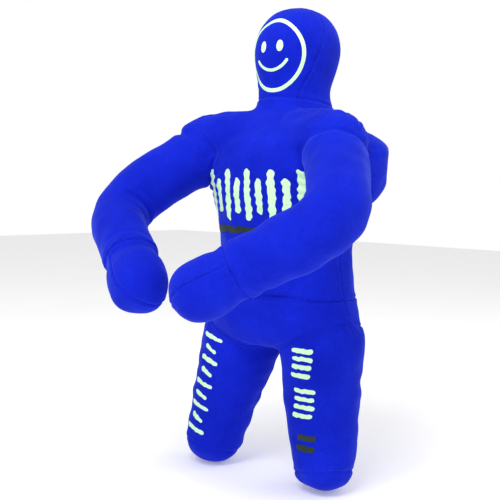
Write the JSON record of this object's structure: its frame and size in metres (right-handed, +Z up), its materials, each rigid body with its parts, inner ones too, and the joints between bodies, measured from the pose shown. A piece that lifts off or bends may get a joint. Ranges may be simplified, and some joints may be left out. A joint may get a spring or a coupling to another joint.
{
  "type": "grappling dummy",
  "caption": "Stuffed child-size grappling dummy standing on leg stumps with hugging arms; head, shoulders, elbows, waist and hips bend, and the back zip opens.",
  "frame": {"origin": "on the floor under the middle of the bounding box", "axes": "+Z up; the dummy faces -Y; +X is the dummy's left"},
  "size_m": [0.72, 0.5724, 1.074],
  "materials": {
    "blue_fabric": "matte",
    "stuffing": "matte",
    "pale_print": "matte",
    "dark_print": "matte",
    "zip_tape": "matte",
    "zip_coil": "satin",
    "zip_metal": "satin"
  },
  "bodies": {
    "pelvis": {"pelvis_back_panel": "blue_fabric", "pelvis_front_panel": "blue_fabric", "pelvis_stuffing": "stuffing"},
    "torso": {"back_panel_left": "blue_fabric", "back_panel_right": "blue_fabric", "chest_block_print": "dark_print", "chest_front_panel": "blue_fabric", "chest_slash_print": "pale_print", "torso_stuffing": "stuffing", "zip_coil": "zip_coil", "zip_tape_left": "zip_tape", "zip_tape_right": "zip_tape"},
    "head": {"face_print": "pale_print", "head_stuffing": "stuffing", "hood_back_panel": "blue_fabric", "hood_face_panel": "blue_fabric"},
    "upper_arm_left": {"upper_arm_cover_left": "blue_fabric", "upper_arm_stuffing_left": "stuffing"},
    "upper_arm_right": {"upper_arm_cover_right": "blue_fabric", "upper_arm_stuffing_right": "stuffing"},
    "forearm_left": {"forearm_cover_left": "blue_fabric", "forearm_stuffing_left": "stuffing", "hand_lower_panel_left": "blue_fabric", "hand_stuffing_left": "stuffing", "hand_upper_panel_left": "blue_fabric"},
    "forearm_right": {"forearm_cover_right": "blue_fabric", "forearm_stuffing_right": "stuffing", "hand_lower_panel_right": "blue_fabric", "hand_stuffing_right": "stuffing", "hand_upper_panel_right": "blue_fabric"},
    "leg_left": {"left_leg_dark_print": "dark_print", "left_leg_pale_print": "pale_print", "leg_cover_left": "blue_fabric", "leg_end_panel_left": "blue_fabric", "leg_stuffing_left": "stuffing"},
    "leg_right": {"leg_cover_right": "blue_fabric", "leg_end_panel_right": "blue_fabric", "leg_stuffing_right": "stuffing", "right_leg_print": "pale_print"},
    "zip_slider": {"zip_slider": "zip_metal"},
    "zip_pull": {"zip_pull": "zip_metal"}
  },
  "joints": [
    {"name": "waist_bend", "type": "hinge", "parent": "pelvis", "child": "torso", "pos_m": [0, 0.156, 0.418], "axis": [1, 0, 0], "range_deg": [-8, 15], "stiffness_Nm_per_rad": 90},
    {"name": "neck_nod", "type": "hinge", "parent": "torso", "child": "head", "pos_m": [0, 0.173, 0.833], "axis": [1, 0, 0], "range_deg": [-15, 20], "stiffness_Nm_per_rad": 14},
    {"name": "shoulder_open_left", "type": "hinge", "parent": "torso", "child": "upper_arm_left", "pos_m": [0.188, 0.08, 0.74], "axis": [0, 0, 1], "range_deg": [0, 45], "stiffness_Nm_per_rad": 12},
    {"name": "elbow_open_left", "type": "hinge", "parent": "upper_arm_left", "child": "forearm_left", "pos_m": [0.302, -0.088, 0.606], "axis": [-0.0977, -0.6602, 0.7447], "range_deg": [0, 60], "stiffness_Nm_per_rad": 14},
    {"name": "shoulder_open_right", "type": "hinge", "parent": "torso", "child": "upper_arm_right", "pos_m": [-0.188, 0.08, 0.74], "axis": [0, 0, -1], "range_deg": [0, 45], "stiffness_Nm_per_rad": 12},
    {"name": "elbow_open_right", "type": "hinge", "parent": "upper_arm_right", "child": "forearm_right", "pos_m": [-0.302, -0.088, 0.606], "axis": [-0.0977, 0.6602, -0.7447], "range_deg": [0, 60], "stiffness_Nm_per_rad": 14},
    {"name": "hip_bend_left", "type": "hinge", "parent": "pelvis", "child": "leg_left", "pos_m": [0.116, 0.148, 0.308], "axis": [-1, 0, 0], "range_deg": [-10, 40], "stiffness_Nm_per_rad": 80},
    {"name": "hip_bend_right", "type": "hinge", "parent": "pelvis", "child": "leg_right", "pos_m": [-0.116, 0.148, 0.308], "axis": [-1, 0, 0], "range_deg": [-10, 40], "stiffness_Nm_per_rad": 80},
    {"name": "zip_slide", "type": "slide", "parent": "torso", "child": "zip_slider", "axis": [0, 0, -1], "range_m": [0, 0.2494]},
    {"name": "zip_pull_swing", "type": "hinge", "parent": "zip_slider", "child": "zip_pull", "pos_m": [0, 0.2842, 0.7232], "axis": [1, 0, 0], "range_deg": [0, 160]}
  ]
}
